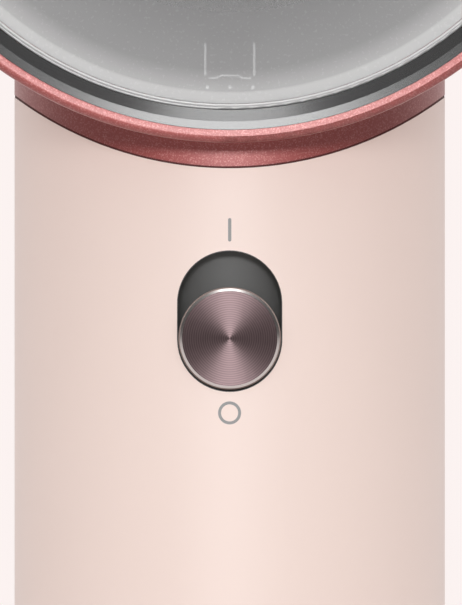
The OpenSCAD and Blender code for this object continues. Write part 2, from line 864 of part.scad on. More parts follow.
module heat_button() {
    color("#7d676b") push_button(heat_z);
}

module tact_switches() {
    y = board_front_y - ring_gap;
    color("#1f1f1f") for (z = [speed_z, heat_z]) {
        translate([-tact_w / 2, y - tact_h, z - tact_w / 2]) cube([tact_w, tact_h, tact_w]);
        along_y(plunger_y, z) cylinder(d = plunger_d, h = plunger_h + cut / 2, $fn = small_fn);
    }
}

// --- Heater ---------------------------------------------------------------

module heat_shield() {
    color("#b9b4aa") translate([0, 0, shield_z]) rotate_extrude() {
        band(shield_r - shield_t, shield_r, 0, shield_h);
        band(shield_r - shield_t, shield_flange_r, 0, shield_flange_t);
        band(shield_r - shield_t, shield_flange_r,
             chassis_top - shield_z - shield_flange_t, chassis_top - shield_z);
    }
}

// Two mica sheets that cross on the axis, notched for the coil
module heater_frame() {
    notch_h = wire_d + 2 * coil_notch;
    color("#c9bfa8") difference() {
        for (a = [0, 90]) rotate([0, 0, a]) translate([-mica_half, -mica_t / 2, mica_z])
            cube([2 * mica_half, mica_t, mica_h]);
        for (i = [0 : coil_turns - 1]) translate([0, 0, coil_z + i * coil_pitch - notch_h / 2])
            tube(mica_half + cut, (coil_d - wire_d) / 2 - coil_notch, notch_h);
    }
}

module heater_coils() {
    color("#b0703a") for (i = [0 : coil_turns - 1]) translate([0, 0, coil_z + i * coil_pitch])
        rotate_extrude() translate([coil_d / 2, 0]) circle(d = wire_d, $fn = small_fn);
}

// Cut-out that stops the heater when it gets too hot, clipped to the mica
module thermal_cutout() {
    color("#d9d9d9") translate([mica_t / 2 + cutout_inset, mica_t / 2 + ring_gap, mica_z + cutout_rise])
        cube([cutout_w, cutout_t, cutout_h]);
}

// --- Fan unit -------------------------------------------------------------

// Rubber sleeve with three ribs that holds the fan unit in the duct
module motor_mount() {
    rib_h = 3;
    color("#2b2b2b") translate([0, 0, fan_z]) rotate_extrude() {
        band(shroud_r + ring_gap, mount_r - mount_rib, 0, fan_h);
        for (z = [0, (fan_h - rib_h) / 2, fan_h - rib_h])
            band(shroud_r + ring_gap, mount_r, z, z + rib_h);
    }
}

// Tube round the impeller, with fixed vanes that carry the motor's cup
module fan_shroud() {
    cup_r = motor_r + ring_gap + cup_t;
    vane_h = 10;
    vane_t = 1;
    vane_tilt = 20;
    vane_rise = 2;
    vane_z = motor_z + vane_rise + vane_h / 2;
    color("#cfcac4") {
        translate([0, 0, fan_z]) tube(shroud_r, shroud_in_r, fan_h);
        translate([0, 0, motor_z]) tube(cup_r, motor_r + ring_gap, motor_h);
        ring_of(vane_count) translate([0, 0, vane_z]) rotate([vane_tilt, 0, 0])
            translate([cup_r - cup_t / 2, -vane_t / 2, -vane_h / 2])
                cube([shroud_in_r + shroud_t / 2 - cup_r + cup_t / 2, vane_t, vane_h]);
    }
}

module motor_can() {
    color("#a8a8a8") difference() {
        translate([0, 0, motor_z]) cylinder(r = motor_r, h = motor_h);
        translate([0, 0, motor_z + end_t]) cylinder(r = motor_r - can_t, h = motor_h - 2 * end_t);
        translate([0, 0, motor_z - cut])
            cylinder(r = shaft_r + shaft_hole_gap, h = motor_h + 2 * cut, $fn = small_fn);
        for (z = [motor_z - cut, motor_z + motor_h - bearing_h])
            translate([0, 0, z]) cylinder(r = bearing_r + press_gap, h = bearing_h + cut);
    }
}

module motor_bearings() {
    color("#c0c0c0") for (z = [motor_z, motor_z + motor_h - bearing_h])
        translate([0, 0, z]) tube(bearing_r, shaft_r + shaft_fit, bearing_h);
}

// Laminated ring with six wound teeth
module motor_stator() {
    color("#a5693a") translate([0, 0, core_z]) difference() {
        tube(motor_r - can_t - stator_gap, stator_in_r, core_h);
        ring_of(tooth_count) translate([stator_in_r + stator_slot_d / 4, 0, -cut])
            cylinder(d = stator_slot_d, h = core_h + 2 * cut, $fn = small_fn);
    }
}

module motor_magnet() {
    color("#4d4d55") translate([0, 0, core_z]) tube(magnet_r, shaft_r + press_gap, core_h);
}

module motor_shaft() {
    color("#d0d0d0") translate([0, 0, impeller_z])
        cylinder(r = shaft_r, h = motor_z + motor_h + shaft_end - impeller_z);
}

// Axial impeller: tilted blades on a hub with a rounded nose
module impeller() {
    blade_z = impeller_z + impeller_nose_h;
    blade_h = impeller_h - impeller_nose_h;
    color("#e0dcd6") difference() {
        union() {
            translate([0, 0, blade_z]) cylinder(r = impeller_hub_r, h = blade_h);
            translate([0, 0, impeller_z])
                cylinder(r1 = impeller_hub_r - impeller_nose_h, r2 = impeller_hub_r,
                         h = impeller_nose_h);
            intersection() {
                translate([0, 0, blade_z]) tube(blade_r, impeller_hub_r - blade_root, blade_h);
                ring_of(blade_count) translate([0, 0, blade_z + blade_h / 2])
                    rotate([blade_tilt, 0, 0]) translate([0, -blade_t / 2, -impeller_h])
                        cube([handle_r, blade_t, 2 * impeller_h]);
            }
        }
        translate([0, 0, impeller_z - cut]) cylinder(r = shaft_r + press_gap, h = impeller_h + 2 * cut);
    }
}

// --- Base -----------------------------------------------------------------

// Perforated cup that twists off the lower end of the handle
module filter_cage() {
    rows_h = (inlet_rows - 1) * inlet_pitch;
    first_z = (floor_t + skirt_z - rows_h) / 2;
    color("#8e5a56") difference() {
        rotate_extrude() {
            band(bore_r, handle_r, base_round, cage_top_z);
            band(hub_r + fit_gap, bore_r, 0, floor_t);
            intersection() {
                translate([handle_r - base_round, base_round]) circle(r = base_round);
                band(handle_r - base_round, handle_r, 0, base_round);
            }
            band(hub_r + fit_gap, handle_r - base_round, 0, base_round);
        }
        for (row = [0 : inlet_rows - 1]) for (i = [0 : inlet_count - 1])
            rotate([0, 0, (i + (row % 2) / 2) * 360 / inlet_count])
                translate([bore_r - cut, 0, first_z + row * inlet_pitch])
                    rotate([0, 90, 0]) cylinder(d = inlet_d, h = sleeve_wall + 2 * cut, $fn = small_fn);
    }
}

module filter_mesh() {
    low_z = floor_t + seam;
    color("#6f6f6f") translate([0, 0, low_z]) tube(mesh_r, mesh_r - mesh_t, skirt_z - fit_gap - low_z);
}

// Spoked disc at the base with the tube that the gland turns in
module base_hub() {
    color("#565253") difference() {
        union() {
            translate([0, 0, hub_disc_z]) cylinder(r = inlet_cage_r, h = hub_disc_t);
            translate([0, 0, hub_low_z]) cylinder(r = hub_r, h = hub_top_z - hub_low_z);
        }
        translate([0, 0, -cut]) cylinder(r = hub_bore_r, h = hub_top_z + 2 * cut);
        translate([0, 0, flange_z]) cylinder(r = hub_step_r, h = hub_top_z);
        ring_of(hub_screw_count) translate([hub_screw_at_r, 0, hub_disc_z - cut]) {
            cylinder(r = screw_d / 2 + screw_fit, h = hub_disc_t + 2 * cut, $fn = small_fn);
            cylinder(r = screw_head_d / 2 + screw_fit, h = screw_head_h + cut, $fn = small_fn);
        }
    }
}

module hub_screws() {
    l = boss_hole_l - screw_end_gap + hub_disc_t;
    color("#9a9a9a") ring_of(hub_screw_count)
        translate([hub_screw_at_r, 0, hub_disc_z + l]) rotate([180, 0, 0]) screw(l);
}

// Swivelling bush that the cord comes out of
module cord_gland() {
    flange_low = flange_z + ring_gap;
    color("#2b2b2b") difference() {
        union() {
            translate([0, 0, gland_low_z]) cylinder(r = gland_r, h = flange_low - gland_low_z);
            translate([0, 0, flange_low]) cylinder(r = gland_flange_r, h = flange_t);
        }
        cylinder(d = cord_bore_d, h = 3 * flange_z, center = true);
    }
}

// Ring pressed into the hub above the gland's flange
module gland_ring() {
    low = flange_z + ring_gap + flange_t + fit_gap;
    color("#a8a8a8") translate([0, 0, low])
        tube(hub_step_r - press_gap, gland_r - gland_ring_lap, hub_top_z - low);
}

head_shell();
bezel_ring();
trim_ring();
window_disc();
light_plate();
status_board();
status_lights();
air_guide();
vent_plate();
vent_plate_screws();
heat_sensor();
brush_ring();
cushion_pad();
bristle_row(1);  // bristle_row_1
bristle_row(2);  // bristle_row_2
bristle_row(3);  // bristle_row_3
bristle_row(4);  // bristle_row_4
bristle_row(5);  // bristle_row_5
bristle_row(6);  // bristle_row_6
bristle_row(7);  // bristle_row_7
bristle_row(8);  // bristle_row_8
bristle_row(9);  // bristle_row_9
handle_sleeve();
chassis_tube();
heat_shield();
heater_frame();
heater_coils();
thermal_cutout();
control_board();
slide_switch();
switch_lever();
slider_shutter();
slider_cap();
speed_button();
heat_button();
tact_switches();
fan_shroud();
motor_mount();
motor_can();
motor_stator();
motor_magnet();
motor_shaft();
motor_bearings();
impeller();
filter_cage();
filter_mesh();
base_hub();
hub_screws();
cord_gland();
gland_ring();
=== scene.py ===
import json
import math

import bmesh
import bpy
import numpy as np
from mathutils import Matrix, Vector
from mathutils.bvhtree import BVHTree


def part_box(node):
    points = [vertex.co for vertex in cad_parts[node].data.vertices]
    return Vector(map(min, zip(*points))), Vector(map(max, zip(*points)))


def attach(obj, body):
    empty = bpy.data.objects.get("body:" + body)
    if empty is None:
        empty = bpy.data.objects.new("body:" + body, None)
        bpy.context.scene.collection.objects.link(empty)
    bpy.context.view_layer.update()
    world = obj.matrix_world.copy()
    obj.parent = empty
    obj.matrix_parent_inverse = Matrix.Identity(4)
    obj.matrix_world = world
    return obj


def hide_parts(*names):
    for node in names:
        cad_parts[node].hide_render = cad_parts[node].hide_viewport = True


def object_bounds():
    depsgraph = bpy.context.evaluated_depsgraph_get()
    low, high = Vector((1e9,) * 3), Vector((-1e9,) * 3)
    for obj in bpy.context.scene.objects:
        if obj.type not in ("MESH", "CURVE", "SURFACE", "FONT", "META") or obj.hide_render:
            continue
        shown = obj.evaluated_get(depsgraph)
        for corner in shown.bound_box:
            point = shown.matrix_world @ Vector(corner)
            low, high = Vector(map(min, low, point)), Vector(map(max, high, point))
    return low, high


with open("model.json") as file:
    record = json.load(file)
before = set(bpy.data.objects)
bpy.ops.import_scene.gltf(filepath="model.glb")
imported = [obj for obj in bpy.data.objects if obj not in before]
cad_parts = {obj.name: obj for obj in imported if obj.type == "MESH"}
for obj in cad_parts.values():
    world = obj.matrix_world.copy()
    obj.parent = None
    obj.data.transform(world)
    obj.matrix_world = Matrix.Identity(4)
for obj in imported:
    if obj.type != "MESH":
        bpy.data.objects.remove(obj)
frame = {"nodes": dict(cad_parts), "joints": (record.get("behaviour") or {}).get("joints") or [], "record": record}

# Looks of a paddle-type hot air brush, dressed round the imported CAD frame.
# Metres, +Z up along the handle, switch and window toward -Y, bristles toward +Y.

MM = 0.001
cad_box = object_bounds()

# --- Image points, in the photograph's frame ---------------------------------

WIDTH, HEIGHT = 462, 605
LONG_SIDE = max(WIDTH, HEIGHT)
POINTS = {
    "handle_left": (14.5, 300.0),
    "handle_right": (444.9, 300.0),
    "window_arch": (229.6, 75.5),
    "light_left": (207.5, 87.0),
    "light_middle": (230.0, 87.0),
    "light_right": (253.0, 87.0),
    "tab_left": (188.0, 98.5),
    "tab_right": (276.5, 98.5),
    "trim_bottom": (229.7, 110.2),
    "bezel_bottom": (229.7, 130.3),
    "lip_bottom": (229.7, 143.5),
    "collar_bottom": (229.7, 167.5),
    "mark_on": (229.7, 229.8),
    "slot_top": (229.9, 250.5),
    "cap": (229.7, 337.2),
    "slot_bottom": (229.9, 390.6),
    "mark_off": (229.6, 412.9),
}

# --- Sizes taken from the frame ----------------------------------------------

def span(node):
    """Lowest and highest corner of a CAD node."""
    lo, hi = (Vector(corner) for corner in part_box(node))
    return lo, hi


sleeve_lo, sleeve_hi = span("handle_sleeve")
cap_lo, cap_hi = span("slider_cap")
window_lo, window_hi = span("window_disc")
cushion_lo, cushion_hi = span("cushion_pad")

HANDLE_R = (sleeve_hi - sleeve_lo).x / 2
HEAD_Z = (window_lo.z + window_hi.z) / 2
WINDOW_R = (window_hi - window_lo).x / 2
CUSHION_R = (cushion_hi - cushion_lo).x / 2
PLATE_FRONT = span("light_plate")[0].y
SHELL_FRONT = span("head_shell")[0].y
# How far the skirt under the cap stands out, all round
CAP_SKIRT = 0.12 * MM
CAP_R = (cap_hi - cap_lo).x / 2 - CAP_SKIRT
CAP_Z = (cap_lo.z + cap_hi.z) / 2
# Gaps between the cap and the slot, at its sides and at the ends of the travel
CAP_GAP = 0.25 * MM
END_GAP = 0.1 * MM
SLOT_R = CAP_R + CAP_GAP
SLOT_LOW = CAP_Z - END_GAP
SLIDE = next(j for j in frame["joints"] if j["name"] == "power_slide")["range_m"][1]
SLOT_HIGH = CAP_Z + SLIDE + END_GAP

# --- Camera ------------------------------------------------------------------

SENSOR = 36.0
DISTANCE = 1.9
CLIP_START, CLIP_END = 0.05, 20.0
# The handle's two silhouettes set the scale, and the cap sets the height
METRES_PER_PIXEL = 2 * HANDLE_R / (POINTS["handle_right"][0] - POINTS["handle_left"][0])
MIDDLE_X = (POINTS["handle_left"][0] + POINTS["handle_right"][0]) / 2
LENS = SENSOR * DISTANCE / (LONG_SIDE * METRES_PER_PIXEL)
# The head's front stands nearer than the silhouettes, so it shows a little large: the camera
# rises by this many pixels to share the difference between the lip and the cap
RISE = 0.8


def make_camera():
    data = bpy.data.cameras.new("camera")
    data.sensor_fit = "AUTO"
    data.sensor_width = SENSOR
    data.lens = LENS
    data.clip_start, data.clip_end = CLIP_START, CLIP_END
    camera = bpy.data.objects.new("camera", data)
    bpy.context.scene.collection.objects.link(camera)
    across = (WIDTH / 2 - MIDDLE_X) * METRES_PER_PIXEL
    up = CAP_Z + (POINTS["cap"][1] + RISE - HEIGHT / 2) * METRES_PER_PIXEL
    camera.location = (across, -DISTANCE, up)
    camera.rotation_euler = (math.radians(90), 0, 0)
    bpy.context.scene.camera = camera
    bpy.context.view_layer.update()
    return camera


camera = make_camera()


def tree_of(names):
    """BVH tree of CAD nodes or pieces as they are placed."""
    corners, faces = [], []
    graph = bpy.context.evaluated_depsgraph_get()
    for name in names:
        thing = bpy.data.objects[name].evaluated_get(graph)
        mesh = thing.to_mesh()
        start = len(corners)
        corners += [thing.matrix_world @ v.co for v in mesh.vertices]
        faces += [[start + i for i in p.vertices] for p in mesh.polygons]
        thing.to_mesh_clear()
    return BVHTree.FromPolygons(corners, faces)


def place(point, carriers):
    """Where the line of sight through an image point meets what carries a piece, or the
    place on it nearest to that line."""
    x, y = POINTS[point]
    lens = camera.data
    ray = Vector((
        x - WIDTH / 2 + lens.shift_x * LONG_SIDE,
        HEIGHT / 2 - y + lens.shift_y * LONG_SIDE,
        -LONG_SIDE * lens.lens / lens.sensor_width,
    ))
    turn = camera.matrix_world.to_quaternion()
    start, ray = camera.matrix_world.translation, (turn @ ray).normalized()
    tree = tree_of(carriers)
    hit = tree.ray_cast(start, ray)
    if hit[0] is None:
        hit = tree.find_nearest(start + ray * DISTANCE)
    return hit[0]


def pixel(spot):
    """Image point at which a place in space shows."""
    p = camera.matrix_world.inverted() @ Vector(spot)
    scale = LONG_SIDE * camera.data.lens / camera.data.sensor_width / -p.z
    return WIDTH / 2 + p.x * scale, HEIGHT / 2 - p.y * scale


# --- Materials ---------------------------------------------------------------

def new_material(name):
    mat = bpy.data.materials.new(name)
    mat.use_nodes = True
    tree = mat.node_tree
    return mat, tree, tree.nodes["Principled BSDF"]


def add(tree, kind, inputs=None, **settings):
    """New shader node with its settings and the values of its inputs."""
    made = tree.nodes.new(kind)
    for key, value in settings.items():
        setattr(made, key, value)
    for key, value in (inputs or {}).items():
        made.inputs[key].default_value = value
    return made


def tinted(colour, factor):
    return tuple(min(1.0, c * factor) for c in colour[:3]) + (1.0,)


def coordinates(tree):
    """Object coordinates, in metres."""
    return add(tree, "ShaderNodeTexCoord").outputs["Object"]


def noise(tree, where, scale, detail=3.0):
    made = add(tree, "ShaderNodeTexNoise", {"Scale": scale, "Detail": detail})
    tree.links.new(where, made.inputs["Vector"])
    return made.outputs["Fac"]


def remap(tree, value, low, high, start=0.3, end=0.7):
    """Values from start to end spread over low to high; start and end suit a noise."""
    made = add(tree, "ShaderNodeMapRange", {
        "From Min": start, "From Max": end, "To Min": low, "To Max": high})
    tree.links.new(value, made.inputs["Value"])
    return made.outputs["Result"]


# The colour mix node's sockets: its factor, its two colours and its result
MIX_FACTOR, MIX_FIRST, MIX_SECOND, MIX_RESULT = 0, 6, 7, 2


def blend_colours(tree, factor, first, second):
    """Colour mix by an output; each side is a colour or an output."""
    made = add(tree, "ShaderNodeMix", data_type="RGBA")
    tree.links.new(factor, made.inputs[MIX_FACTOR])
    for socket, side in ((made.inputs[MIX_FIRST], first), (made.inputs[MIX_SECOND], second)):
        if isinstance(side, tuple):
            socket.default_value = side
        else:
            tree.links.new(side, socket)
    return made.outputs[MIX_RESULT]


def relief(tree, shader, height, depth, strength=1.0):
    made = add(tree, "ShaderNodeBump", {"Strength": strength, "Distance": depth})
    tree.links.new(height, made.inputs["Height"])
    tree.links.new(made.outputs["Normal"], shader.inputs["Normal"])


CLOUD_GRAINS = 12


def surface(name, colour, rough, metal=0.0, grain=1500.0, spread=0.06, rough_spread=0.06,
            depth=0.01, **inputs):
    """Moulded, cast or drawn material: cloudy tone, fine grain, uneven gloss, and relief of a
    depth in millimetres, where 0 leaves the surface smooth."""
    mat, tree, shader = new_material(name)
    where = coordinates(tree)
    cloud = noise(tree, where, grain / CLOUD_GRAINS)
    fine = noise(tree, where, grain)
    tone = blend_colours(tree, cloud, tinted(colour, 1 - spread), tinted(colour, 1 + spread))
    tree.links.new(tone, shader.inputs["Base Color"])
    gloss = remap(tree, fine, rough - rough_spread, rough + rough_spread)
    tree.links.new(gloss, shader.inputs["Roughness"])
    shader.inputs["Metallic"].default_value = metal
    for key, value in inputs.items():
        shader.inputs[key.replace("_", " ").title().replace("Ior", "IOR")].default_value = value
    if depth:
        relief(tree, shader, fine, depth * MM)
    return mat


def radius_from(tree, centre_z):
    """Distance from the line through the middle of a turned piece, in metres."""
    where = coordinates(tree)
    split = add(tree, "ShaderNodeSeparateXYZ")
    tree.links.new(where, split.inputs["Vector"])
    rise = add(tree, "ShaderNodeMath", {1: centre_z}, operation="SUBTRACT")
    tree.links.new(split.outputs["Z"], rise.inputs[0])
    flat = add(tree, "ShaderNodeCombineXYZ")
    tree.links.new(split.outputs["X"], flat.inputs["X"])
    tree.links.new(rise.outputs[0], flat.inputs["Y"])
    length = add(tree, "ShaderNodeVectorMath", operation="LENGTH")
    tree.links.new(flat.outputs[0], length.inputs[0])
    return length.outputs["Value"]


def rose_metallic():
    """Rose metallic lacquer: fine flakes that tilt and glint under a satin clear coat."""
    colour, flake_colour = (0.325, 0.036, 0.030), (0.78, 0.46, 0.44, 1.0)
    flake_grain, cloud_grain, spread = 9000.0, 140.0, 0.06
    # Only flakes above the threshold glint, by up to this share
    threshold, most_glint = 0.55, 0.30
    base_rough, flake_rough = 0.68, 0.54
    flake_depth, flake_strength = 0.012 * MM, 0.4
    mat, tree, shader = new_material("rose_metallic")
    where = coordinates(tree)
    flakes = add(tree, "ShaderNodeTexVoronoi", {"Scale": flake_grain})
    tree.links.new(where, flakes.inputs["Vector"])
    glint = remap(tree, flakes.outputs["Color"], 0.0, most_glint, threshold, 1.0)
    cloud = noise(tree, where, cloud_grain)
    base = blend_colours(tree, cloud, tinted(colour, 1 - spread), tinted(colour, 1 + spread))
    bright = blend_colours(tree, glint, base, flake_colour)
    tree.links.new(bright, shader.inputs["Base Color"])
    gloss = remap(tree, glint, base_rough, flake_rough, 0.0, most_glint)
    tree.links.new(gloss, shader.inputs["Roughness"])
    shader.inputs["Metallic"].default_value = 1.0
    shader.inputs["Coat Weight"].default_value = 1.0
    shader.inputs["Coat Roughness"].default_value = 0.46
    shader.inputs["Coat IOR"].default_value = 1.80
    relief(tree, shader, flakes.outputs["Distance"], flake_depth, flake_strength)
    return mat


def pearl_sleeve():
    """Satin pearl pink coat, almost smooth."""
    dark, light = (0.776, 0.634, 0.578, 1), (0.790, 0.648, 0.593, 1)
    cloud_grain, cloud_detail, fine_grain = 45.0, 2.0, 5200.0
    least_rough, most_rough = 0.40, 0.48
    fine_depth = 0.002 * MM
    mat, tree, shader = new_material("pearl_sleeve")
    where = coordinates(tree)
    cloud = noise(tree, where, cloud_grain, cloud_detail)
    fine = noise(tree, where, fine_grain)
    tone = blend_colours(tree, cloud, dark, light)
    tree.links.new(tone, shader.inputs["Base Color"])
    gloss = remap(tree, fine, least_rough, most_rough)
    tree.links.new(gloss, shader.inputs["Roughness"])
    shader.inputs["IOR"].default_value = 1.5
    shader.inputs["Sheen Weight"].default_value = 0.08
    shader.inputs["Sheen Roughness"].default_value = 0.4
    relief(tree, shader, fine, fine_depth)
    return mat


def turned_metal():
    """Mauve anodised cap, turned in fine rings; its colour swings darker and lighter ring by ring as painted light
    and shade of the turned grooves.
    """
    colour, darker, lighter = (0.111, 0.079, 0.082), 0.76, 1.20
    # Turn of the wave of painted ring light and shade for each metre from the middle, in radians
    wave_rate = 28000.0
    fine_grain, least_rough, most_rough = 2500.0, 0.36, 0.42
    mat, tree, shader = new_material("turned_metal")
    ring = radius_from(tree, CAP_Z)
    line = add(tree, "ShaderNodeMath", {1: wave_rate}, operation="MULTIPLY")
    tree.links.new(ring, line.inputs[0])
    wave = add(tree, "ShaderNodeMath", operation="SINE")
    tree.links.new(line.outputs[0], wave.inputs[0])
    shade = remap(tree, wave.outputs[0], 0.0, 1.0, -1.0, 1.0)
    tone = blend_colours(tree, shade, tinted(colour, darker), tinted(colour, lighter))
    tree.links.new(tone, shader.inputs["Base Color"])
    shader.inputs["Metallic"].default_value = 1.0
    shader.inputs["Anisotropic"].default_value = 0.85
    shader.inputs["Anisotropic Rotation"].default_value = 0.25
    gloss = remap(tree, noise(tree, coordinates(tree), fine_grain), least_rough, most_rough)
    tree.links.new(gloss, shader.inputs["Roughness"])
    tangent = add(tree, "ShaderNodeTangent", direction_type="RADIAL", axis="Y")
    tree.links.new(tangent.outputs[0], shader.inputs["Tangent"])
    return mat


def smoke_window_painted_light():
    """Frosted smoke grey with painted light and shade: dark in the middle, lighter toward the rim, brightest in a
    thin ring at the rim.
    """
    # Painted light and shade: colours at shares of the window's radius
    painted_light_stops = ((0.55, (0.14, 0.14, 0.142, 1)), (0.905, (0.33, 0.33, 0.332, 1)),
              (0.966, (0.56, 0.56, 0.56, 1)), (0.970, (0.70, 0.70, 0.70, 1)))
    fine_grain, least_rough, most_rough = 3000.0, 0.25, 0.28
    mat, tree, shader = new_material("smoke_window_painted_light")
    ring = radius_from(tree, HEAD_Z)
    ramp = add(tree, "ShaderNodeValToRGB")
    share = remap(tree, ring, 0.0, 1.0, 0.0, WINDOW_R)
    tree.links.new(share, ramp.inputs["Fac"])
    stops = ramp.color_ramp.elements
    stops.remove(stops[1])
    stops[0].position, stops[0].color = painted_light_stops[0]
    for position, shade in painted_light_stops[1:]:
        stops.new(position).color = shade
    tree.links.new(ramp.outputs["Color"], shader.inputs["Base Color"])
    gloss = remap(tree, noise(tree, coordinates(tree), fine_grain), least_rough, most_rough)
    tree.links.new(gloss, shader.inputs["Roughness"])
    shader.inputs["Alpha"].default_value = 0.60
    return mat


def grey(level):
    return level, level, level


METAL = 1.0
PLAIN_FINISHES = {
    # In sight round the window and the switch
    "bezel_grey": dict(colour=grey(0.036), rough=0.22, grain=2500, spread=0.03,
                       rough_spread=0.008, depth=0.0, ior=2.0),
    "trim_bright": dict(colour=grey(0.58), rough=0.36, grain=2500, spread=0.03,
                        rough_spread=0.04, depth=0.0),
    "light_plate": dict(colour=grey(0.50), rough=0.6, grain=900),
    # The status lights and the display's lines and dots glow weakly: painted light that lets them show through the
    # smoke window
    "status_light": dict(colour=(0.92, 0.92, 0.90), rough=0.2, grain=2000, spread=0.02,
                         emission_color=(1, 1, 0.97, 1), emission_strength=0.2),
    "panel_grey": dict(colour=grey(0.30), rough=0.5, grain=2000, spread=0.04),
    "tab_grey": dict(colour=grey(0.12), rough=0.5, grain=2000, spread=0.04),
    "line_light": dict(colour=grey(0.85), rough=0.4, grain=2000, spread=0.03,
                       emission_color=(1, 1, 1, 1), emission_strength=0.7),
    "print_grey": dict(colour=grey(0.25), rough=0.5, grain=3000, spread=0.04),
    "shutter_grey": dict(colour=(0.048, 0.048, 0.046), rough=0.38, grain=2600, spread=0.05,
                         rough_spread=0.05, depth=0.004),
    "polished_edge": dict(colour=(0.60, 0.56, 0.545), rough=0.30, metal=METAL, grain=2500,
                          spread=0.03, rough_spread=0.02, depth=0.0),
    "skirt_brown": dict(colour=(0.20, 0.145, 0.125), rough=0.42, metal=0.2, grain=2500,
                        spread=0.05),
    # Painted shade: the dark band in the collar joint
    "seal_rose": dict(colour=(0.080, 0.012, 0.010), rough=0.75, grain=2500, spread=0.08),
    "button_metal": dict(colour=(0.36, 0.27, 0.28), rough=0.34, metal=METAL, grain=2600,
                         spread=0.05, rough_spread=0.05, depth=0.002),
    # Brush side
    "cushion_rubber": dict(colour=(0.045, 0.040, 0.042), rough=0.62, grain=1100, spread=0.12,
                           rough_spread=0.08, depth=0.02),
    "bristle_nylon": dict(colour=(0.030, 0.027, 0.028), rough=0.28, grain=900, spread=0.1,
                          depth=0.004),
    # Inside and at the base
    "dark_plastic": dict(colour=(0.055, 0.052, 0.052), rough=0.5, grain=1800, spread=0.1,
                         rough_spread=0.08, depth=0.02),
    "circuit_board": dict(colour=(0.04, 0.16, 0.09), rough=0.35, grain=700, spread=0.12),
    "chassis_plastic": dict(colour=(0.075, 0.070, 0.070), rough=0.55, spread=0.1),
    "heat_steel": dict(colour=(0.52, 0.49, 0.44), rough=0.35, metal=METAL, grain=1400, spread=0.12),
    "mica": dict(colour=(0.50, 0.42, 0.28), rough=0.5, grain=900, spread=0.2),
    "heating_wire": dict(colour=(0.42, 0.26, 0.15), rough=0.4, metal=METAL, grain=2500, spread=0.2),
    "cutout_case": dict(colour=grey(0.70), rough=0.3, metal=METAL),
    "switch_black": dict(colour=grey(0.02), rough=0.45),
    "lever_white": dict(colour=(0.70, 0.68, 0.64), rough=0.5),
    "fan_plastic": dict(colour=(0.66, 0.63, 0.60), rough=0.45),
    "mount_rubber": dict(colour=grey(0.03), rough=0.8, grain=1200, spread=0.15),
    "motor_steel": dict(colour=grey(0.50), rough=0.32, metal=METAL, spread=0.1),
    "stator_copper": dict(colour=(0.55, 0.25, 0.12), rough=0.4, metal=METAL, grain=2500,
                          spread=0.2),
    "magnet": dict(colour=(0.10, 0.10, 0.11), rough=0.5, metal=0.6),
    "steel": dict(colour=grey(0.60), rough=0.25, metal=METAL, grain=1800, spread=0.08),
    "mesh_steel": dict(colour=grey(0.32), rough=0.4, metal=METAL, grain=4000, spread=0.4,
                       rough_spread=0.1, depth=0.05),
    "gland_rubber": dict(colour=(0.030, 0.028, 0.028), rough=0.6, spread=0.1, rough_spread=0.08,
                         depth=0.02),
}
FINISHES = {name: surface(name, **look) for name, look in PLAIN_FINISHES.items()}
FINISHES["rose_metal"] = rose_metallic()
FINISHES["sleeve_pink"] = pearl_sleeve()
FINISHES["cap_metal"] = turned_metal()
FINISHES["window_smoke"] = smoke_window_painted_light()

# The two buttons share a record slot with other pieces and get a finish of their own
OWN_FINISH = {"speed_button": "button_metal", "heat_button": "button_metal"}
for part in frame["record"]["subparts"]:
    node = frame["nodes"][part["node"]]
    for slot in node.material_slots:
        slot.material = FINISHES[OWN_FINISH.get(part["node"], part["material_slot"])]

# --- Building pieces ---------------------------------------------------------

def piece(name, corners, faces, finish, slot, body, sharp=30):
    """New mesh object that rides on a body, with its finish; the slot argument is not used. Edges above
    the sharp angle, in degrees, stay crisp."""
    mesh = bpy.data.meshes.new(name)
    mesh.from_pydata([tuple(c) for c in corners], [], faces)
    work = bmesh.new()
    work.from_mesh(mesh)
    bmesh.ops.recalc_face_normals(work, faces=work.faces)
    work.to_mesh(mesh)
    work.free()
    mesh.shade_smooth()
    mesh.set_sharp_from_angle(angle=math.radians(sharp))
    mesh.materials.append(FINISHES[finish])
    thing = bpy.data.objects.new(name, mesh)
    bpy.context.scene.collection.objects.link(thing)
    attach(thing, body)
    return thing


def lathe(profile, height, steps):
    """Corners and faces of a profile of (radius, y), from the middle line and back to it, turned
    about the line along Y at a height."""
    corners, faces, rings = [], [], []
    for r, y in profile:
        if r == 0.0:
            rings.append([len(corners)] * steps)
            corners.append((0.0, y, height))
            continue
        rings.append([len(corners) + i for i in range(steps)])
        for i in range(steps):
            a = 2 * math.pi * i / steps
            corners.append((r * math.cos(a), y, height + r * math.sin(a)))
    for near, far in zip(rings, rings[1:]):
        for i in range(steps):
            j = (i + 1) % steps
            # On the middle line two corners of the face are one
            faces.append(list(dict.fromkeys([near[i], near[j], far[j], far[i]])))
    return corners, faces


def on_handle(x, z, depth=0.0):
    """Place on the handle's front at a depth below its surface, x measured round it."""
    turn = x / HANDLE_R
    r = HANDLE_R - depth
    return r * math.sin(turn), -r * math.cos(turn), z


def stadium(r, low, high, steps=24):
    """Outline of a round-ended slot, as (x, z), anticlockwise from the right."""
    upper = [(r * math.cos(a), high + r * math.sin(a))
             for a in (math.pi * i / steps for i in range(steps + 1))]
    lower = [(-r * math.cos(a), low - r * math.sin(a))
             for a in (math.pi * i / steps for i in range(steps + 1))]
    return upper + lower


def ring_solid(outer, inner, top, bottom):
    """Closed solid between two outlines of equal count; top and bottom turn (x, z) into a
    place."""
    n = len(outer)
    corners = [top(x, z) for x, z in outer] + [top(x, z) for x, z in inner]
    corners += [bottom(x, z) for x, z in outer] + [bottom(x, z) for x, z in inner]
    faces = []
    for i in range(n):
        j = (i + 1) % n
        faces += [[i, j, n + j, n + i], [2 * n + i, 3 * n + i, 3 * n + j, 2 * n + j]]
        faces += [[i, 2 * n + i, 2 * n + j, j], [n + i, n + j, 3 * n + j, 3 * n + i]]
    return corners, faces


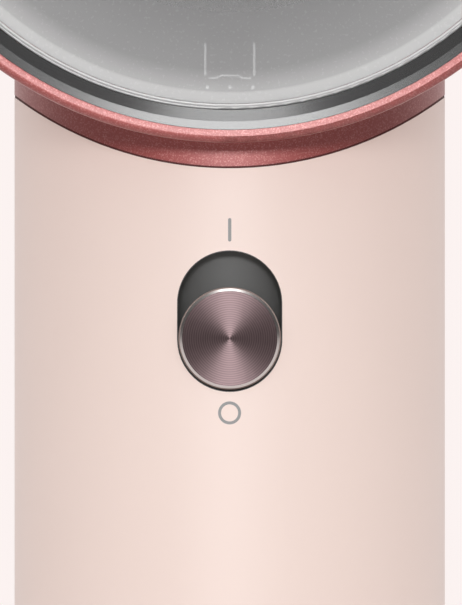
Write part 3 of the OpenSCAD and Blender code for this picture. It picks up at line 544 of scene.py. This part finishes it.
def plate_solid(outline, top, bottom):
    """Closed solid below a filled outline."""
    n = len(outline)
    corners = [top(x, z) for x, z in outline] + [bottom(x, z) for x, z in outline]
    faces = [list(range(n)), [2 * n - 1 - i for i in range(n)]]
    faces += [[i, (i + 1) % n, n + (i + 1) % n, n + i] for i in range(n)]
    return corners, faces


def circle(r, x, z, steps=64):
    """Outline of a circle, as (x, z)."""
    return [(x + r * math.cos(2 * math.pi * i / steps), z + r * math.sin(2 * math.pi * i / steps))
            for i in range(steps)]


# --- Marks beside the switch -------------------------------------------------

MARK_PROUD = 0.015 * MM
MARK_DEPTH = 0.05 * MM
ON_W, ON_H = 0.32 * MM, 2.32 * MM
ON_R = ON_W / 2
ON_END_STEPS = 12
OFF_R, OFF_STROKE = 1.135 * MM, 0.29 * MM


def mark_top(x, z):
    return on_handle(x, z, -MARK_PROUD)


def mark_bottom(x, z):
    return on_handle(x, z, MARK_DEPTH)


on_spot = place("mark_on", ["handle_sleeve"])
bar = [(x + on_spot.x, z) for x, z in stadium(
    ON_R, on_spot.z - ON_H / 2 + ON_R, on_spot.z + ON_H / 2 - ON_R, ON_END_STEPS)]
piece("mark_on", *plate_solid(bar, mark_top, mark_bottom),
      "print_grey", "shutter_grey", "housing")

off_spot = place("mark_off", ["handle_sleeve"])
piece("mark_off", *ring_solid(
    circle(OFF_R, off_spot.x, off_spot.z), circle(OFF_R - OFF_STROKE, off_spot.x, off_spot.z),
    mark_top, mark_bottom), "print_grey", "shutter_grey", "housing")

# --- Dark liner round the slot, painted shade along its edge -----------------

SHADE_LINER_W = 0.085 * MM
SHADE_LINER_CLEAR = 0.004 * MM
SHADE_LINER_DROP = 0.03 * MM
SHADE_LINER_DEPTH = 1.2 * MM


def at_depth(depth):
    """Turns (x, z) of a flat outline into a place below the handle's round surface."""
    def spot(x, z):
        return x, -math.sqrt(HANDLE_R ** 2 - x ** 2) + depth, z
    return spot


# The dark liner is painted shade along the slot's edge, where the gap's shadow falls
piece("slot_shade_liner", *ring_solid(
    stadium(SLOT_R - SHADE_LINER_CLEAR, SLOT_LOW, SLOT_HIGH),
    stadium(SLOT_R - SHADE_LINER_W, SLOT_LOW, SLOT_HIGH),
    at_depth(SHADE_LINER_DROP), at_depth(SHADE_LINER_DEPTH)), "dark_plastic", "shutter_grey", "housing")

# --- Turned cap --------------------------------------------------------------

GROOVE_PITCH = 0.224 * MM
GROOVE_DEPTH = 0.006 * MM
CHAMFER = 0.25 * MM
CHAMFER_DROP = 0.13 * MM
EDGE = 0.03 * MM
SKIRT_R = CAP_R + CAP_SKIRT
SKIRT_DROP = 0.5 * MM
SKIRT_T = 0.85 * MM
CAP_STEPS = 192
CAP_SHARP = 12


def cap_profile():
    """Face with fine turned rings, polished chamfer, wall and a skirt behind the slot's edge."""
    face = cap_lo.y
    flat = CAP_R - CHAMFER
    count = int(flat / GROOVE_PITCH)
    line = [(0.0, face + GROOVE_DEPTH)]
    for i in range(count):
        r = (i + 0.5) * GROOVE_PITCH
        line += [(r, face), (r + GROOVE_PITCH / 2, face + GROOVE_DEPTH)]
    line[-1] = (flat - EDGE, face + GROOVE_DEPTH)
    line += [(flat, face), (CAP_R - EDGE, face + CHAMFER_DROP), (CAP_R, face + CHAMFER_DROP + EDGE)]
    line += [(CAP_R, face + SKIRT_DROP), (SKIRT_R - EDGE, face + SKIRT_DROP)]
    line += [(SKIRT_R, face + SKIRT_DROP + EDGE), (SKIRT_R, face + SKIRT_DROP + SKIRT_T)]
    line += [(CAP_R, face + SKIRT_DROP + SKIRT_T), (CAP_R, cap_hi.y), (0.0, cap_hi.y)]
    return line


turned_cap = piece("turned_cap", *lathe(cap_profile(), CAP_Z, CAP_STEPS),
                   "cap_metal", "cap_metal", "slider", CAP_SHARP)
EDGE_SLOT, SKIRT_SLOT = 1, 2
for extra in ("polished_edge", "skirt_brown"):
    turned_cap.data.materials.append(FINISHES[extra])
for face in turned_cap.data.polygons:
    reach = math.hypot(face.center.x, face.center.z - CAP_Z)
    if face.center.y > cap_lo.y + SKIRT_DROP - EDGE:
        face.material_index = SKIRT_SLOT
    elif reach > CAP_R - CHAMFER:
        face.material_index = EDGE_SLOT
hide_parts("slider_cap")

# --- Behind the window -------------------------------------------------------

SHEET_T = 0.06 * MM
LINE_T = 0.02 * MM
ARCH_LINE = 0.17 * MM
DOT_R = 0.18 * MM
DOT_STEPS = 24
# Least cosine by which a mitre may stretch a corner
MITRE_LIMIT = 0.3


def before_plate(lift):
    """Turns (x, z) into a place in front of the plate behind the window."""
    def spot(x, z):
        return x, PLATE_FRONT - lift, z
    return spot


def sheet_on_plate(name, outline, lift, thick, finish):
    piece(name, *plate_solid(outline, before_plate(lift + thick), before_plate(lift)),
          finish, "light_plate", "housing")


def rectangle(x, z, width, height):
    """Outline with its lower edge's middle at (x, z)."""
    x0, x1, z1 = x - width / 2, x + width / 2, z + height
    return [(x0, z), (x1, z), (x1, z1), (x0, z1)]


def ribbon(line, width):
    """Outline of a line with an even width, mitred at its corners."""
    def side(sign):
        out = []
        for i, (x, z) in enumerate(line):
            before = Vector(line[max(i - 1, 0)])
            after = Vector(line[min(i + 1, len(line) - 1)])
            here = Vector((x, z))
            first = (here - before).normalized() if i else (after - here).normalized()
            second = (after - here).normalized() if i < len(line) - 1 else first
            mid = (first + second).normalized()
            reach = width / 2 / max(MITRE_LIMIT, mid.dot(second))
            out.append((x - sign * mid.y * reach, z + sign * mid.x * reach))
        return out
    return side(1) + side(-1)[::-1]


PANEL_W, PANEL_H, PANEL_DROP = 5.7 * MM, 6.2 * MM, 0.55 * MM
BAR_X, BAR_W, BAR_H = 2.42 * MM, 0.24 * MM, 3.2 * MM
TAB_W, TAB_H = 0.75 * MM, 1.3 * MM
# Right half of the arch line, in millimetres from its middle
ARCH_RIGHT = [(0.82, 0.0), (1.28, -0.25), (2.1, -0.25)]

arch_spot = place("window_arch", ["light_plate"])
light_spot = place("light_middle", ["light_plate"])
sheet_on_plate("display_panel", rectangle(0.0, light_spot.z - PANEL_DROP, PANEL_W, PANEL_H),
               0.0, SHEET_T, "panel_grey")
arch = [(-x * MM, arch_spot.z + z * MM) for x, z in reversed(ARCH_RIGHT)]
arch += [(x * MM, arch_spot.z + z * MM) for x, z in ARCH_RIGHT]
sheet_on_plate("display_arch", ribbon(arch, ARCH_LINE), SHEET_T, LINE_T, "line_light")
for side in ("left", "middle", "right"):
    spot = place("light_" + side, ["light_plate", "display_panel"])
    sheet_on_plate("display_dot_" + side, circle(DOT_R, spot.x, spot.z, DOT_STEPS),
                   SHEET_T, LINE_T, "line_light")
for side in ("left", "right"):
    spot = place("tab_" + side, ["light_plate"])
    sheet_on_plate("display_tab_" + side, rectangle(spot.x, spot.z - TAB_H / 2, TAB_W, TAB_H),
                   0.0, SHEET_T, "tab_grey")
for side, sign in (("left", -1), ("right", 1)):
    sheet_on_plate("display_bar_" + side, rectangle(sign * BAR_X, arch_spot.z, BAR_W, BAR_H),
                   SHEET_T, LINE_T, "line_light")

# --- Painted shade in the joint between the sleeve and the neck --------------

SHADE_BAND_W, SHADE_BAND_DROP, SHADE_BAND_T = 0.2 * MM, 0.05 * MM, 0.09 * MM
SHADE_BAND_STEPS = 192
SHADE_BAND_SHARP = 40
# The collar line lies on a cylinder of this radius, across the handle
COLLAR_LINE_R = 35.5 * MM
FRONT_HALF = 0.3 * MM


def collar_middle():
    """Height of the middle of the collar line, from the sleeve's upper edge in front."""
    mesh = frame["nodes"]["handle_sleeve"].data
    front = max(v.co.z for v in mesh.vertices if abs(v.co.x) < FRONT_HALF and v.co.y < 0)
    return front + COLLAR_LINE_R


def collar_joint_shade(steps=SHADE_BAND_STEPS):
    """Dark band of painted shade that fills the joint all round the handle, a little below its surface."""
    middle = collar_middle()
    outer, inner = HANDLE_R - SHADE_BAND_DROP, HANDLE_R - SHADE_BAND_DROP - SHADE_BAND_T
    upper, lower = COLLAR_LINE_R - SHADE_BAND_W, COLLAR_LINE_R
    section = ((outer, upper), (inner, upper), (inner, lower), (outer, lower))
    n = len(section)
    corners, faces = [], []
    for i in range(steps):
        a = 2 * math.pi * i / steps
        for r, reach in section:
            x = r * math.sin(a)
            corners.append((x, -r * math.cos(a), middle - math.sqrt(reach ** 2 - x ** 2)))
        for k in range(n):
            j, m = (i + 1) % steps, (k + 1) % n
            faces.append([i * n + k, i * n + m, j * n + m, j * n + k])
    return corners, faces


piece("collar_joint_shade", *collar_joint_shade(), "seal_rose", "rose_metal", "housing", SHADE_BAND_SHARP)

# --- Rubber cushion ----------------------------------------------------------

VOXEL = 0.42 * MM
SMOOTH_FACTOR, SMOOTH_TURNS = 0.5, 3
COLLAR_RISE, COLLAR_REACH = 0.34 * MM, 2.35 * MM
VENT_SINK, VENT_REACH = 0.30 * MM, 2.9 * MM
SWELL = 0.10 * MM
PIN_R = 1.0 * MM
VENT_R = 1.5 * MM
# The shaping fades in above the underside, and out toward the rim
FADE_START, FADE_RISE = 1.0 * MM, 0.5 * MM
RIM_CLEAR, RIM_FADE = 1.2 * MM, 1.0 * MM
# Depth of the ball on a pin's tip, and a width that no ball reaches
TIP_DEPTH = 0.9 * MM
TIP_APART = 1.5 * MM
# Marks of a vent in the plate's mesh: edges straight through the plate, and many of them close
# together round one middle
SAME_PLACE = 1e-7
THROUGH = 0.8
ROUND_DIGITS = 6
VENT_SPREAD = 2.05
VENT_EDGES = 8


def pin_places():
    """Middles of all the pins, as (x, z), from the balls on their tips."""
    spots = []
    for row in sorted(n for n in frame["nodes"] if n.startswith("bristle_row_")):
        mesh = frame["nodes"][row].data
        top = max(v.co.y for v in mesh.vertices)
        near = sorted(v.co.x for v in mesh.vertices if v.co.y > top - TIP_DEPTH)
        lo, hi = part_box(row)
        groups = [[near[0]]]
        for x in near[1:]:
            if x - groups[-1][-1] > TIP_APART:
                groups.append([])
            groups[-1].append(x)
        spots += [((g[0] + g[-1]) / 2, (lo[2] + hi[2]) / 2) for g in groups]
    return np.array(spots)


def vent_places():
    """Middles of the vents, from the upright edges of the vent plate's round holes."""
    mesh = frame["nodes"]["vent_plate"].data
    lo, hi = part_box("vent_plate")
    through = THROUGH * (hi[1] - lo[1])
    rim = {}
    for edge in mesh.edges:
        a, b = (mesh.vertices[i].co for i in edge.vertices)
        if abs(a.x - b.x) + abs(a.z - b.z) < SAME_PLACE and abs(a.y - b.y) > through:
            rim[(round(a.x, ROUND_DIGITS), round(a.z, ROUND_DIGITS))] = (a.x, a.z)
    left = list(rim.values())
    spots = []
    while left:
        x, z = left[0]
        near = [p for p in left if math.hypot(p[0] - x, p[1] - z) < VENT_SPREAD * VENT_R]
        left = [p for p in left if p not in near]
        if len(near) > VENT_EDGES:
            xs, zs = [p[0] for p in near], [p[1] for p in near]
            spots.append(((min(xs) + max(xs)) / 2, (min(zs) + max(zs)) / 2))
    return np.array(spots)


def soft_mesh(node):
    """Even, smoothed copy of a CAD node's mesh, on an object of its own."""
    thing = bpy.data.objects.new("soft_cushion", frame["nodes"][node].data.copy())
    bpy.context.scene.collection.objects.link(thing)
    remesh = thing.modifiers.new("even", "REMESH")
    remesh.mode, remesh.voxel_size, remesh.adaptivity = "VOXEL", VOXEL, 0.0
    smooth = thing.modifiers.new("soft", "SMOOTH")
    smooth.factor, smooth.iterations = SMOOTH_FACTOR, SMOOTH_TURNS
    bpy.context.view_layer.update()
    graph = bpy.context.evaluated_depsgraph_get()
    made = bpy.data.meshes.new_from_object(thing.evaluated_get(graph))
    thing.modifiers.clear()
    thing.data = made
    return thing


def nearest(flat, spots):
    """Distance from each (x, z) to the nearest of the spots."""
    return np.sqrt(((flat[:, None, :] - spots[None]) ** 2).sum(2)).min(1)


def fade(distance, inner, outer):
    """1 up to the inner distance, 0 from the outer one on."""
    return np.clip(1 - (distance - inner) / (outer - inner), 0, 1) ** 2


def make_cushion():
    """The cushion's solid made anew as soft rubber: raised collars round the pins, sunk edges
    round the vents and a slight swell between them."""
    thing = soft_mesh("cushion_pad")
    mesh = thing.data
    corners = np.empty(len(mesh.vertices) * 3)
    mesh.vertices.foreach_get("co", corners)
    corners = corners.reshape(-1, 3)
    flat = corners[:, [0, 2]]
    reach = np.hypot(flat[:, 0], flat[:, 1] - HEAD_Z)
    upper = np.clip((corners[:, 1] - (cushion_lo.y + FADE_START)) / FADE_RISE, 0, 1)
    inside = np.clip((CUSHION_R - RIM_CLEAR - reach) / RIM_FADE, 0, 1)
    pins = nearest(flat, pin_places())
    vents = nearest(flat, vent_places())
    up = COLLAR_RISE * fade(pins, PIN_R, COLLAR_REACH)
    down = VENT_SINK * fade(vents, VENT_R, VENT_REACH)
    between = SWELL * np.clip(np.minimum(pins - COLLAR_REACH, vents - VENT_REACH) / MM, 0, 1)
    corners[:, 1] += upper * inside * (up - down + between)
    corners[:, 1] = np.minimum(corners[:, 1], cushion_hi.y + COLLAR_RISE)
    mesh.vertices.foreach_set("co", corners.ravel())
    mesh.shade_smooth()
    mesh.materials.clear()
    mesh.materials.append(FINISHES["cushion_rubber"])
    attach(thing, "housing")
    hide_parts("cushion_pad")


make_cushion()

# --- Floor, world and lamps --------------------------------------------------

PALE = (0.973, 0.896, 0.880, 1.0)
AMBIENT = (0.68, 0.670, 0.670, 1.0)
FLOOR_PALE = (1.0, 0.930, 0.915, 1.0)
FLOOR_CLOTH = (0.86, 0.84, 0.83, 1.0)
FLOOR_HALF = 6.0
FLOOR_GAP = 0.2 * MM
# Share of the floor's plain pale colour; the rest is cloth that takes the shadow
FLOOR_SHARE = 0.88
# Glossy rays see a dark studio, lighter upward, and the pale background behind the object
STUDIO_LOW, STUDIO_HIGH = (0.05, 0.05, 0.05, 1), (0.16, 0.16, 0.16, 1)
STUDIO_RISE = (0.20, 0.80)
BEHIND = (0.20, 0.56)


def greatest(tree, first, second):
    """The greater of two outputs."""
    made = add(tree, "ShaderNodeMath", operation="MAXIMUM")
    tree.links.new(first, made.inputs[0])
    tree.links.new(second, made.inputs[1])
    return made.outputs[0]


def make_floor():
    """Pale floor that keeps the object's shadow; plain pale to the camera, to glossy rays and
    through glass."""
    mesh = bpy.data.meshes.new("floor")
    mesh.from_pydata([(-FLOOR_HALF, -FLOOR_HALF, 0), (FLOOR_HALF, -FLOOR_HALF, 0),
                      (FLOOR_HALF, FLOOR_HALF, 0), (-FLOOR_HALF, FLOOR_HALF, 0)],
                     [], [[0, 1, 2, 3]])
    floor = bpy.data.objects.new("floor", mesh)
    floor.location = (0, 0, cad_box[0][2] - FLOOR_GAP)
    bpy.context.scene.collection.objects.link(floor)
    mat = bpy.data.materials.new("floor_pale")
    mat.use_nodes = True
    tree = mat.node_tree
    tree.nodes.clear()
    path = add(tree, "ShaderNodeLightPath")
    straight = greatest(tree, path.outputs["Is Camera Ray"], path.outputs["Is Glossy Ray"])
    seen = greatest(tree, straight, path.outputs["Is Transmission Ray"])
    share = add(tree, "ShaderNodeMath", {1: FLOOR_SHARE}, operation="MULTIPLY")
    tree.links.new(seen, share.inputs[0])
    cloth = add(tree, "ShaderNodeBsdfDiffuse", {"Color": FLOOR_CLOTH})
    glow = add(tree, "ShaderNodeEmission", {"Color": FLOOR_PALE, "Strength": 1.0})
    mix = add(tree, "ShaderNodeMixShader")
    out = add(tree, "ShaderNodeOutputMaterial")
    tree.links.new(share.outputs[0], mix.inputs[0])
    tree.links.new(cloth.outputs[0], mix.inputs[1])
    tree.links.new(glow.outputs[0], mix.inputs[2])
    tree.links.new(mix.outputs[0], out.inputs["Surface"])
    mesh.materials.append(mat)


def make_world():
    """Pale background behind the object for direct, glossy and transmitted rays; a darker
    studio in front of it for glossy ones; even ambient light for the rest."""
    world = bpy.data.worlds.new("studio")
    bpy.context.scene.world = world
    world.use_nodes = True
    world.cycles.sampling_method = "NONE"
    tree = world.node_tree
    tree.nodes.clear()
    path = add(tree, "ShaderNodeLightPath")
    where = add(tree, "ShaderNodeTexCoord")
    split = add(tree, "ShaderNodeSeparateXYZ")
    tree.links.new(where.outputs["Generated"], split.inputs[0])
    behind = remap(tree, split.outputs["Y"], 0.0, 1.0, *BEHIND)
    above = remap(tree, split.outputs["Z"], 0.0, 1.0, *STUDIO_RISE)
    studio = blend_colours(tree, above, STUDIO_LOW, STUDIO_HIGH)
    seen_glossy = blend_colours(tree, behind, studio, PALE)
    ambient = blend_colours(tree, path.outputs["Is Glossy Ray"], AMBIENT, seen_glossy)
    direct = greatest(tree, path.outputs["Is Camera Ray"], path.outputs["Is Transmission Ray"])
    colour = blend_colours(tree, direct, ambient, PALE)
    back = add(tree, "ShaderNodeBackground", {"Strength": 1.0})
    out = add(tree, "ShaderNodeOutputWorld")
    tree.links.new(colour, back.inputs["Color"])
    tree.links.new(back.outputs[0], out.inputs["Surface"])


# Name, azimuth and elevation in degrees from the front, distance, width and height in metres,
# power in watts, and the rays that see the lamp: both kinds, or only those named
LAMPS = (
    ("key", 0, 18, 1.4, 0.50, 0.25, 4.8, "both"),
    ("gloss_card", 0, 46, 1.4, 0.50, 0.74, 7.2, "glossy"),
    ("gloss_top", 0, 70, 1.4, 0.45, 0.30, 1.7, "glossy"),
    ("gloss_low", 0, 17.5, 1.4, 0.50, 0.24, 9.4, "glossy"),
    ("soft_front", 0, 5, 2.0, 1.6, 1.6, 6.2, "diffuse"),
    ("top_soft", 0, 80, 1.5, 0.8, 0.8, 5.0, "diffuse"),
    ("back_soft", 180, 30, 1.6, 1.2, 1.2, 6.0, "diffuse"),
)


def area_lamp(name, azimuth, elevation, distance, width, height, power, rays):
    """Area lamp that faces the switch."""
    data = bpy.data.lights.new(name, "AREA")
    data.shape = "RECTANGLE"
    data.size, data.size_y = width, height
    data.energy = power
    lamp = bpy.data.objects.new(name, data)
    a, e = math.radians(azimuth), math.radians(elevation)
    back = Vector((math.sin(a) * math.cos(e), -math.cos(a) * math.cos(e), math.sin(e)))
    lamp.location = Vector((0, 0, CAP_Z)) + back * distance
    lamp.rotation_mode = "QUATERNION"
    lamp.rotation_quaternion = (-back).to_track_quat("-Z", "Y")
    lamp.visible_glossy = rays != "diffuse"
    lamp.visible_diffuse = rays != "glossy"
    bpy.context.scene.collection.objects.link(lamp)


make_floor()
make_world()
for lamp in LAMPS:
    area_lamp(*lamp)

bpy.context.scene.view_settings.view_transform = "Standard"

# --- Image points, measured --------------------------------------------------

# Parts of the front that are measured: near its middle, the arch's flat top, and the lip alone
MIDDLE_BAND = 2.0 * MM
ARCH_HALF = 1.0 * MM
LIP_BACK = SHELL_FRONT + 1.5 * MM
SIGHT_SLACK = 0.05 * MM


def shown(names, keep=None):
    """Pixels of the finished corners of pieces, of those that lie inside the image and, where
    keep() is given, of the places that it takes."""
    graph = bpy.context.evaluated_depsgraph_get()
    out = []
    for name in names:
        thing = bpy.data.objects[name].evaluated_get(graph)
        mesh = thing.to_mesh()
        for v in mesh.vertices:
            spot = thing.matrix_world @ v.co
            x, y = pixel(spot)
            if 0 <= x <= WIDTH and 0 <= y <= HEIGHT and (keep is None or keep(spot)):
                out.append((x, y))
        thing.to_mesh_clear()
    return out


def in_sight(walls):
    """Test for a place near the middle of the front that no wall hides from the camera."""
    tree = tree_of(walls)
    eye = camera.matrix_world.translation

    def keep(spot):
        if spot.y > 0 or abs(spot.x) > MIDDLE_BAND:
            return False
        hit = tree.ray_cast(eye, (spot - eye).normalized())
        return hit[0] is None or (hit[0] - eye).length > (spot - eye).length - SIGHT_SLACK
    return keep


def middle_of(names):
    """Middle of what shows of some pieces, as a pixel."""
    spots = shown(names)
    xs, ys = [s[0] for s in spots], [s[1] for s in spots]
    return (min(xs) + max(xs)) / 2, (min(ys) + max(ys)) / 2


def write_points():
    sleeve = shown(["handle_sleeve"])
    found = {"cap": middle_of(["turned_cap"]), "mark_on": middle_of(["mark_on"]),
             "mark_off": middle_of(["mark_off"])}
    found["handle_left"] = (min(s[0] for s in sleeve), POINTS["handle_left"][1])
    found["handle_right"] = (max(s[0] for s in sleeve), POINTS["handle_right"][1])
    liner = shown(["slot_shade_liner"])
    found["slot_top"] = (middle_of(["slot_shade_liner"])[0], min(s[1] for s in liner))
    found["slot_bottom"] = (middle_of(["slot_shade_liner"])[0], max(s[1] for s in liner))
    raised = shown(["display_arch"], lambda spot: abs(spot.x) < ARCH_HALF)
    found["window_arch"] = (sum(s[0] for s in raised) / len(raised),
                            sum(s[1] for s in raised) / len(raised))
    for side in ("left", "middle", "right"):
        found["light_" + side] = middle_of(["display_dot_" + side])
    for side in ("left", "right"):
        found["tab_" + side] = middle_of(["display_tab_" + side])
    keep = in_sight(["head_shell", "bezel_ring", "trim_ring", "handle_sleeve", "window_disc"])
    for name, node, edge in (("trim_bottom", "trim_ring", max), ("bezel_bottom", "bezel_ring", max),
                             ("collar_bottom", "handle_sleeve", min)):
        found[name] = (POINTS[name][0], edge(s[1] for s in shown([node], keep)))
    lip = shown(["head_shell"], lambda spot: spot.y < LIP_BACK and keep(spot))
    found["lip_bottom"] = (POINTS["lip_bottom"][0], max(s[1] for s in lip))


write_points()
